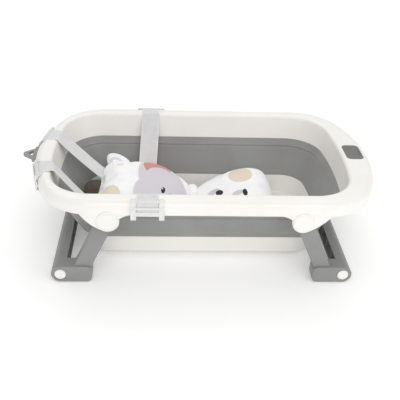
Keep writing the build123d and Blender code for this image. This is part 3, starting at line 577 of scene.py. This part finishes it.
def ribbon(name, path, across, material, seed):
    """Flat webbing with fuller selvedges. The attribute strap_place holds metres across and along it."""
    columns = STRAP_COLUMNS
    vertices = []
    places = []
    along = 0.0
    last = path[0]
    for i, point in enumerate(path):
        along += (point - last).length
        last = point
        ahead = path[min(i + 1, len(path) - 1)] - path[max(i - 1, 0)]
        normal = across.cross(ahead).normalized()
        loop = []
        for face in (1, -1):
            steps = range(columns + 1) if face > 0 else range(columns, -1, -1)
            for k in steps:
                share = 2 * k / columns - 1
                swell = 1 + SELVEDGE_SWELL * abs(share) ** 6
                half = STRAP_THICKNESS / 2 * swell * (1 - SELVEDGE_TAPER * abs(share) ** 10)
                ripple = noise.noise(Vector((share * 0.7, along * 14, seed))) * STRAP_RIPPLE
                side = share * STRAP_WIDTH / 2
                loop.append(point + across * side + normal * (face * half + ripple))
                places.append((side, along, face))
        vertices += loop
    ring = 2 * (columns + 1)
    faces = ring_faces(len(path), ring)
    faces += [tuple(reversed(range(ring))), tuple(range((len(path) - 1) * ring, len(path) * ring))]
    piece = mesh_piece(name, vertices, faces, material)
    attribute = piece.data.attributes.new("strap_place", "FLOAT_VECTOR", "POINT")
    attribute.data.foreach_set("vector", np.array(places, np.float32).ravel())
    return piece


def webbing_material():
    g = Graph("webbing")
    place = g.node("ShaderNodeAttribute", attribute_name="strap_place").outputs["Vector"]
    split = g.node("ShaderNodeSeparateXYZ", {0: place})
    across = g.math("MULTIPLY", split.outputs["X"], math.pi / WARP_PITCH)
    along = g.math("MULTIPLY", split.outputs["Y"], math.pi / WEFT_PITCH)
    warp = g.math("ABSOLUTE", g.math("SINE", across))
    shifted = g.math("ADD", along, g.math("MULTIPLY", g.math("SIGN", g.math("SINE", across)), math.pi / 4))
    weft = g.math("ABSOLUTE", g.math("SINE", shifted))
    weave = g.math("MULTIPLY", warp, g.math("ADD", 0.35, g.math("MULTIPLY", weft, 0.65)))
    selvedge = g.spread(g.math("ABSOLUTE", split.outputs["X"]), SELVEDGE_START, SELVEDGE_END)
    cloud = g.noise(0.02, 4)
    plain = g.mix(g.spread(cloud, 0.3, 0.7), colour(234, 234, 234), colour(226, 226, 227))
    shaded = g.mix(g.math("MULTIPLY", weave, 0.55), g.mix(0.4, plain, colour(198, 198, 200)), plain)
    g.set(Base_Color=g.mix(selvedge, shaded, colour(244, 244, 244)))
    g.set(Roughness=g.spread(weave, 0, 1, 0.82, 0.6), Sheen_Weight=0.3, Sheen_Roughness=0.4)
    g.set(Normal=g.bump(weave, 0.0003, 0.7))
    return g.material


def thread_material():
    g = Graph("thread")
    twist = g.noise(0.0006, 2)
    g.set(Base_Color=g.mix(twist, colour(240, 240, 238), colour(214, 214, 212)), Sheen_Weight=0.2)
    g.set(Roughness=g.spread(twist, 0.3, 0.7, 0.6, 0.8), Normal=g.bump(twist, 0.0001, 0.5))
    return g.material


def stitches(name, lines, material):
    """Short thread dashes along lines of points, each point with the surface's normal."""
    length, gap, radius = STITCH_LENGTH, STITCH_GAP, STITCH_RADIUS
    sides = 6
    profile = ((-0.5, 0.0), (-0.42, 0.6), (-0.2, 1.0), (0.2, 1.0), (0.42, 0.6), (0.5, 0.0))
    vertices = []
    faces = []
    for line in lines:
        travelled = 0.0
        next_start = gap
        for i in range(len(line) - 1):
            here, normal = line[i]
            there = line[i + 1][0]
            step = (there - here).length
            while step > 0 and next_start < travelled + step:
                middle = here.lerp(there, (next_start - travelled) / step)
                along = (there - here).normalized()
                side = along.cross(normal).normalized()
                first = len(vertices)
                for share, size in profile:
                    for k in range(sides):
                        turn = 2 * math.pi * k / sides
                        spread = side * math.cos(turn) + normal * math.sin(turn) * 0.7
                        dip = normal * (radius * (0.25 - 2.2 * share * share))
                        vertices.append(middle + along * share * length + spread * size * radius + dip)
                faces += [tuple(first + v for v in face) for face in ring_faces(len(profile), sides)]
                next_start += length + gap
            travelled += step
    return mesh_piece(name, vertices, faces, material)


def strap_stitch_lines(path, across):
    """A sewn box with a cross in it, on both faces of the webbing's last stretch before the cushion."""
    lengths = [0.0]
    for i in range(len(path) - 1, 0, -1):
        lengths.append(lengths[-1] + (path[i] - path[i - 1]).length)

    def at(distance):
        for k in range(1, len(lengths)):
            if lengths[k] >= distance:
                i = len(path) - 1 - k
                share = (lengths[k] - distance) / (lengths[k] - lengths[k - 1])
                here = path[i].lerp(path[i + 1], share)
                return here, (path[i + 1] - path[i]).normalized()
        return path[0], (path[1] - path[0]).normalized()

    half = STRAP_WIDTH / 2 - STITCH_MARGIN
    near, far = STITCH_BOX
    corners = ((-half, near), (half, near), (half, far), (-half, far))
    sides = [(corners[i], corners[(i + 1) % 4]) for i in range(4)]
    sides += [(corners[0], corners[2]), (corners[1], corners[3])]
    lines = []
    for face in (1, -1):
        for (side_a, along_a), (side_b, along_b) in sides:
            line = []
            for k in range(9):
                share = k / 8
                here, ahead = at(along_a + (along_b - along_a) * share)
                normal = across.cross(ahead).normalized() * face
                place = here + across * (side_a + (side_b - side_a) * share)
                line.append((place + normal * (STRAP_THICKNESS / 2 + STITCH_LIFT), normal))
            lines.append(line)
    return lines


def add_straps():
    webbing = webbing_material()
    thread = thread_material()
    for seed, name in enumerate(("front", "rear", "head_rear", "head_front")):
        path, across = strap_path(name)
        strap = ribbon(f"webbing_{name}", path, across, webbing, 3.7 * seed)
        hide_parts(f"strap_{name}")
        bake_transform(strap)
        seam = stitches(f"webbing_{name}_stitches", strap_stitch_lines(path, across), thread)
        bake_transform(seam)


add_straps()


# ================================================================ bath cushion
# Plans and heights are plain millimetres. A number times MM is in metres.
PLAN_STEPS = 8
HEAD_PLAN = (
    (-232, 108), (-180, 122), (-130, 125), (-82, 112), (-42, 76), (-13, 26), (-13, -26), (-42, -80),
    (-88, -114), (-150, -125), (-212, -124), (-247, -106), (-248, -50), (-243, 8), (-242, 66),
)
HEAD_MIDDLE = (-145, -2)
HEAD_SEAM_Z = 96.0            # at HEAD_TILT_X
HEAD_TILT = 7.0               # degrees, down towards the foot end
HEAD_TILT_X = -150
HEAD_RISE = 37.0
HEAD_DROP = 30.0
HEAD_POWERS = (3.4, 3.0)      # for the upper and the lower face
SEAT_PLAN = (
    (-12, 30), (-4, 62), (30, 92), (80, 114), (130, 122), (178, 118), (196, 96), (198, 40),
    (198, -40), (196, -96), (178, -118), (130, -122), (80, -114), (30, -92), (-4, -62), (-12, -30),
)
SEAT_MIDDLE = (96, 0)
SEAT_SEAM_Z = 40.0
SEAT_LOW_Z = 16.5
SEAT_HELD_Z = 22.0            # below this height the seat lies on the tub's floor
SEAT_START = (-12.0, 76.0)    # where the crown line starts to rise, along X, and its height
SEAT_CROWN_RUN = 150.0
SEAT_CROWN_RISE = 46.0
SEAT_POWERS = (7.0, 9.0)
PUFF_SHARES = (1.0, 0.985, 0.96, 0.92, 0.87, 0.8, 0.7, 0.58, 0.45, 0.3, 0.15)  # rings, seam to middle
PUFF_ROUNDNESS = 2.1
SEAM_PROBE_START = 0.05       # metres outside the plan, and how far the probe looks inwards
SEAM_PROBE_REACH = 0.12
PIPING_RADIUS = 1.7 * MM
PIPING_LIFT = 0.6 * MM
CLOTH_VOXEL = 5.0 * MM
CLOTH_PRESSURE = 4.0
CLOTH_MASS = 0.15
CLOTH_STIFFNESS = 12
CLOTH_BENDING = 0.6
CLOTH_STEPS = 20
PRINT_WOBBLE = 1.6 * MM       # how far the pile blurs the edge of a print


def smooth_outline(points, steps):
    """A closed smooth curve through points in millimetres, in metres."""
    return catmull_rom([(x * MM, y * MM, 0) for x, y in points], steps, closed=True)


def puffed(name, plan, middle, seam_z, heights, powers, material):
    """A stuffed shape over a plan curve. seam_z and the two heights, above and below the seam, are
    functions of x. A higher power keeps that face flatter, with a tighter edge."""
    centre = Vector((*middle, 0)) * MM
    vertices = []
    for face, height, power, shares in zip((1, -1), heights, powers, (PUFF_SHARES, PUFF_SHARES[1:])):
        for share in shares:
            rise = (1 - share**power) ** (1 / PUFF_ROUNDNESS)
            for point in plan:
                place = centre.lerp(point, share)
                place.z = seam_z(place.x) + face * rise * height(place.x)
                vertices.append(place)
    count = len(plan)
    faces, starts = two_sided_faces(len(PUFF_SHARES), count)
    for face, height, start in zip((1, -1), heights, starts):
        place = centre.copy()
        place.z = seam_z(place.x) + face * height(place.x)
        vertices.append(place)
        tip = len(vertices) - 1
        faces += [(start + c, start + (c + 1) % count, tip) for c in range(count)]
    return mesh_piece(name, vertices, faces, material)


def inflate(piece, pinned, cap, growth):
    """Remeshes a stuffed piece, swells it with the cloth solver and keeps the result.
    pinned(point) says which points the seam holds; cap is the furthest that a point may move."""
    remesh = piece.modifiers.new("remesh", "REMESH")
    remesh.mode = "VOXEL"
    remesh.voxel_size = CLOTH_VOXEL
    keep_modifiers(piece)
    before = [v.co.copy() for v in piece.data.vertices]
    held = piece.vertex_groups.new(name="held")
    held.add([i for i, co in enumerate(before) if pinned(co)], 1.0, "ADD")
    cloth = piece.modifiers.new("cloth", "CLOTH")
    settings = cloth.settings
    settings.use_pressure = True
    settings.uniform_pressure_force = CLOTH_PRESSURE
    settings.mass = CLOTH_MASS
    settings.tension_stiffness = CLOTH_STIFFNESS
    settings.compression_stiffness = CLOTH_STIFFNESS
    settings.bending_stiffness = CLOTH_BENDING
    settings.shrink_min = -growth
    settings.vertex_group_mass = "held"
    settings.effector_weights.gravity = 0.0
    cloth.point_cache.frame_start = 1
    cloth.point_cache.frame_end = CLOTH_STEPS
    for step in range(1, CLOTH_STEPS + 1):
        bpy.context.scene.frame_set(step)
    keep_modifiers(piece)
    bpy.context.scene.frame_set(1)
    for vertex, start in zip(piece.data.vertices, before):
        moved = vertex.co - start
        if moved.length > cap:
            vertex.co = start + moved * (cap / moved.length)
    relax = piece.modifiers.new("relax", "SMOOTH")
    relax.factor = 0.5
    relax.iterations = 2
    refine(piece)


def patch_mask(g, place, middle, radii, degrees=0.0, soft=0.03):
    """1 inside an oval seen from above, 0 outside, with a slightly wavy edge. Millimetres."""
    mapping = g.node(
        "ShaderNodeMapping",
        {
            "Vector": place,
            "Location": (middle[0] * MM, middle[1] * MM, 0),
            "Rotation": (0, 0, math.radians(degrees)),
            "Scale": (radii[0] * MM, radii[1] * MM, 1),
        },
        vector_type="TEXTURE",
    )
    flat = g.vector("MULTIPLY", mapping.outputs[0], (1, 1, 0)).outputs[0]
    distance = g.vector("LENGTH", flat).outputs["Value"]
    return g.spread(distance, 1 - soft, 1 + soft, 1.0, 0.0)


def plush_material(name, paint=None, base=colour(250, 250, 250), shade=colour(243, 243, 244)):
    """Short-pile knit: soft and cloudy, with a fine pile and a light sheen. paint adds printed patches,
    and on the seat also painted shadow beside the ink marks.
    """
    g = Graph(name)
    cloud = g.noise(0.03, 4)
    white = g.mix(g.spread(cloud, 0.3, 0.7), base, shade)
    wobble_inputs = {"Vector": g.place, "Scale": 260.0, "Detail": 2.0}
    wobble = g.node("ShaderNodeTexNoise", wobble_inputs).outputs["Color"]
    offset = g.vector("SCALE", g.vector("SUBTRACT", wobble, (0.5, 0.5, 0.5)).outputs[0])
    g.feed(offset.inputs["Scale"], PRINT_WOBBLE)
    place = g.vector("ADD", g.place, offset.outputs[0]).outputs[0]
    g.set(Base_Color=paint(g, place, white) if paint else white)
    pile = g.noise(0.0009, 2)
    tufts = g.noise(0.004, 3)
    g.set(Roughness=g.spread(tufts, 0.3, 0.7, 0.8, 0.92), Sheen_Weight=0.12, Sheen_Roughness=0.4)
    g.set(Subsurface_Weight=0.08, Subsurface_Radius=(0.005, 0.005, 0.005))
    g.set(Normal=g.bump(pile, 0.0005, 0.5, g.bump(tufts, 0.0009, 0.4)))
    return g.material


LILAC = colour(212, 207, 213)
CORAL = colour(208, 140, 132)
BEIGE = colour(226, 214, 196)
CREAM = colour(232, 230, 208)
PAINTED_SHADOW_GREY = colour(205, 203, 206)
BROWN = colour(82, 70, 60)
DARK_BROWN = colour(58, 48, 41)
LINING = colour(228, 225, 231)
LINING_SHADE = colour(218, 215, 222)
INK = colour(28, 26, 28)
GLINT = colour(240, 240, 240)
BLUSH = colour(226, 142, 156)
# ovals on the pillow and on the seat: colour, middle, radii, turn in degrees and softness of the edge
HEAD_PATCHES = (
    (BEIGE, (-215, -84), (27, 37), 4, 0.03),
    (CREAM, (-196, 56), (10, 9), 0, 0.03),
    (INK, (-85, -48), (5, 13), -6, 0.06),
    (GLINT, (-86, -42), (1.4, 2.4), 0, 0.2),
    (INK, (-112, -106), (5, 13), -6, 0.06),
    (GLINT, (-113, -100), (1.4, 2.4), 0, 0.2),
    (BLUSH, (-66, -62), (7, 7), 0, 0.25),
    (BLUSH, (-98, -128), (7, 7), 0, 0.25),
    (INK, (-80, -86), (3.6, 5.4), -24, 0.08),
)
SEAT_PATCHES = (
    (BEIGE, (117, 52), (31, 40), -4, 0.03),
    (BEIGE, (40, -84), (24, 26), 20, 0.03),
    (BEIGE, (158, -84), (26, 22), -15, 0.03),
    # painted shadow: the two pale grey ovals just beside the ink marks
    (PAINTED_SHADOW_GREY, (43, -6), (17, 11), 35, 0.1),
    (PAINTED_SHADOW_GREY, (103, -37), (16, 10), 30, 0.1),
    (INK, (58, -17), (9, 13), 10, 0.06),
    (INK, (120, -40), (6, 16), 0, 0.06),
)


def paint_patches(g, place, painted, patches):
    for tint, middle, radii, degrees, soft in patches:
        painted = g.mix(patch_mask(g, place, middle, radii, degrees, soft), painted, tint)
    return painted


def paint_head(g, place, white):
    """Generic calico patches and a plain animal face: two oval eyes, a nose and two blushes."""
    broad = patch_mask(g, place, (-84, -30), (58, 150), 12)
    low = patch_mask(g, place, (-100, -70), (58, 92))
    painted = g.mix(g.math("MAXIMUM", broad, low), white, LILAC)
    coral = patch_mask(g, place, (-100, 75), (36, 60))
    dome = patch_mask(g, place, (-92, 20), (36, 45))
    painted = g.mix(g.math("MULTIPLY", coral, g.math("SUBTRACT", 1.0, dome)), painted, CORAL)
    return paint_patches(g, place, painted, HEAD_PATCHES)


def paint_seat(g, place, white):
    return paint_patches(g, place, white, SEAT_PATCHES)


def head_seam(x):
    return (HEAD_SEAM_Z - math.tan(math.radians(HEAD_TILT)) * (x / MM - HEAD_TILT_X)) * MM


def seat_seam(x):
    return SEAT_SEAM_Z * MM


def seat_rise(x):
    """Height of the seat's crown line above its seam, rising towards the foot end."""
    start_x, start_z = SEAT_START
    share = min(max((x / MM - start_x) / SEAT_CROWN_RUN, 0), 1)
    return (start_z + SEAT_CROWN_RISE * share**1.15 * (1.6 - 0.6 * share)) * MM - seat_seam(x)


def near_plan(plan, seam_z, reach, band):
    """Says whether a point is on the seam that runs round a plan curve."""
    outline = np.array([(p.x, p.y) for p in plan])

    def pinned(co):
        if abs(co.z - seam_z(co.x)) > band:
            return False
        return np.min(np.hypot(outline[:, 0] - co.x, outline[:, 1] - co.y)) < reach

    return pinned


def on_floor(co):
    return co.z < SEAT_HELD_Z * MM


def seam_line(piece, plan, seam_z, middle):
    """Points just outside the finished cushion, all round its seam."""
    centre = Vector((*middle, 0)) * MM
    line = []
    for point in plan:
        inwards = (centre - point).normalized()
        start = point - inwards * SEAM_PROBE_START
        start.z = seam_z(point.x)
        hit, spot, _, _ = piece.ray_cast(start, inwards, distance=SEAM_PROBE_REACH)
        place = spot if hit else Vector((point.x, point.y, start.z))
        line.append(place - inwards * PIPING_LIFT)
    count = len(line)
    return [(line[i - 1] + line[i] * 2 + line[(i + 1) % count]) / 4 for i in range(count)]


def add_cushion():
    head_fabric = plush_material("head_plush", paint_head)
    seat_fabric = plush_material("seat_plush", paint_seat)
    head_plan = smooth_outline(HEAD_PLAN, PLAN_STEPS)
    head_heights = (lambda x: HEAD_RISE * MM, lambda x: HEAD_DROP * MM)
    head = puffed(
        "head_pillow", head_plan, HEAD_MIDDLE, head_seam, head_heights, HEAD_POWERS, head_fabric
    )
    on_seam = near_plan(head_plan, head_seam, reach=6 * MM, band=4 * MM)
    inflate(head, on_seam, cap=9 * MM, growth=0.05)
    seat_plan = smooth_outline(SEAT_PLAN, PLAN_STEPS)
    seat_heights = (seat_rise, lambda x: (SEAT_SEAM_Z - SEAT_LOW_Z) * MM)
    seat = puffed(
        "seat_hump", seat_plan, SEAT_MIDDLE, seat_seam, seat_heights, SEAT_POWERS, seat_fabric
    )
    inflate(seat, on_floor, cap=7 * MM, growth=0.03)
    for piece, plan, seam_z, middle, node in (
        (head, head_plan, head_seam, HEAD_MIDDLE, "cushion_head"),
        (seat, seat_plan, seat_seam, SEAT_MIDDLE, "cushion_seat"),
    ):
        line = seam_line(piece, plan, seam_z, middle)
        fabric = piece.data.materials[0]
        piping = closed_tube(piece.name + "_piping", line, PIPING_RADIUS, fabric)
        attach(piping, "base")
        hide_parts(node)
        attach(piece, "base")


# the gathered fabric between pillow and hump, in millimetres
WAIST_X = -10.0
WAIST_HALF_LENGTH = 66.0      # along Y
WAIST_HALF_WIDTH = 14.0       # along X
WAIST_HALF_HEIGHT = 10.0
WAIST_Z = 82.0
WAIST_DROOP = 5.0             # of its ends
WAIST_FOLDS = 11
WAIST_STEPS = 150
WAIST_COLUMNS = 28


def add_waist():
    """Gathered fabric that joins the pillow to the seat hump: a flattened roll with folds across it."""
    vertices = []
    for i in range(WAIST_STEPS + 1):
        share = 2 * i / WAIST_STEPS - 1
        taper = math.sqrt(max(1 - abs(share) ** 6, 0.0)) * 0.96 + 0.04
        turn = WAIST_FOLDS * math.pi * (share + 0.13 * noise.noise(Vector((share * 4, 3.1, 0))))
        for k in range(WAIST_COLUMNS):
            angle = 2 * math.pi * k / WAIST_COLUMNS
            fold = math.cos(turn + 0.5 * math.sin(angle * 2))
            reach = WAIST_HALF_WIDTH * (1 + 0.10 * fold) * taper
            lift = WAIST_HALF_HEIGHT * (1 + 0.30 * fold) * taper * (1 - 0.35 * math.cos(angle) ** 8)
            x = WAIST_X + reach * math.cos(angle) + 1.6 * fold
            y = share * WAIST_HALF_LENGTH + 1.4 * math.sin(angle * 2 + 1.0)
            z = WAIST_Z - WAIST_DROOP * share * share + lift * math.sin(angle)
            vertices.append(Vector((x, y, z)) * MM)
    faces = ring_faces(WAIST_STEPS + 1, WAIST_COLUMNS)
    last = WAIST_STEPS * WAIST_COLUMNS
    faces += [tuple(reversed(range(WAIST_COLUMNS))), tuple(range(last, last + WAIST_COLUMNS))]
    waist = mesh_piece("waist_gather", vertices, faces, plush_material("waist_fabric"))
    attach(waist, "base")


EAR_STEPS = 6
EAR_SHARES = (1.0, 0.97, 0.9, 0.78, 0.6, 0.4, 0.2)  # rings, from the edge inwards
# outlines in each ear's own plane, in millimetres
REAR_EAR = ((-26, -18), (-27, 6), (-25, 24), (-16, 33), (0, 31), (16, 20), (30, 2), (30, -14), (0, -22))
FRONT_EAR = ((-46, -14), (-44, 12), (-26, 24), (0, 27), (24, 26), (42, 14), (46, -12), (0, -18))
REAR_EAR_PLACE = (-0.204, 0.103, 0.119)
REAR_EAR_STAND = math.radians(76)
REAR_EAR_LEAN = math.radians(16)
FRONT_EAR_PLACE = (-0.258, -0.004, 0.104)
EAR_LINING_SCALE = 0.72
EAR_LINING_SHIFT = -1
EAR_LINING_LIFT = 5.6 * MM


def leaf(name, outline, place, material, thickness, cup):
    """A small stuffed ear: a puffed outline in the XY plane of the matrix place, cupped along its Z."""
    points = smooth_outline(outline, EAR_STEPS)
    centre = sum(points, Vector()) / len(points)
    vertices = []
    for face, shares in ((1, EAR_SHARES), (-1, EAR_SHARES[1:])):
        for share in shares:
            for point in points:
                spot = centre.lerp(point, share)
                spot.z = face * thickness / 2 * (1 - share**3) ** 0.5
                spot.z -= cup * (1 - share * share)
                vertices.append(place @ spot)
    count = len(points)
    faces, (upper, lower) = two_sided_faces(len(EAR_SHARES), count)
    faces.append(tuple(range(upper, upper + count)))
    faces.append(tuple(reversed(range(lower, lower + count))))
    return mesh_piece(name, vertices, faces, material)


def add_ears():
    white = plush_material("ear_plush")
    brown = plush_material("ear_brown", base=BROWN, shade=DARK_BROWN)
    grey = plush_material("ear_lining", base=LINING, shade=LINING_SHADE)
    rear_place = Matrix.Translation(REAR_EAR_PLACE) @ Matrix.Rotation(REAR_EAR_STAND, 4, "X")
    rear_place = rear_place @ Matrix.Rotation(REAR_EAR_LEAN, 4, "Z")
    rear = leaf("ear_rear", REAR_EAR, rear_place, white, thickness=15 * MM, cup=2 * MM)
    scale, shift = EAR_LINING_SCALE, EAR_LINING_SHIFT
    lining_outline = [(x * scale + shift, y * scale + shift) for x, y in REAR_EAR]
    lining_place = rear_place @ Matrix.Translation((0, 0, EAR_LINING_LIFT))
    lining = leaf("ear_rear_lining", lining_outline, lining_place, grey, thickness=3.4 * MM, cup=2.5 * MM)
    front_place = Matrix.Translation(FRONT_EAR_PLACE) @ Matrix.Rotation(math.radians(90), 4, "Z")
    front = leaf("ear_front", FRONT_EAR, front_place, brown, thickness=17 * MM, cup=1 * MM)
    for piece in (rear, lining, front):
        refine(piece)
        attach(piece, "base")
    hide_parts("cushion_ears")


add_cushion()
add_waist()
add_ears()
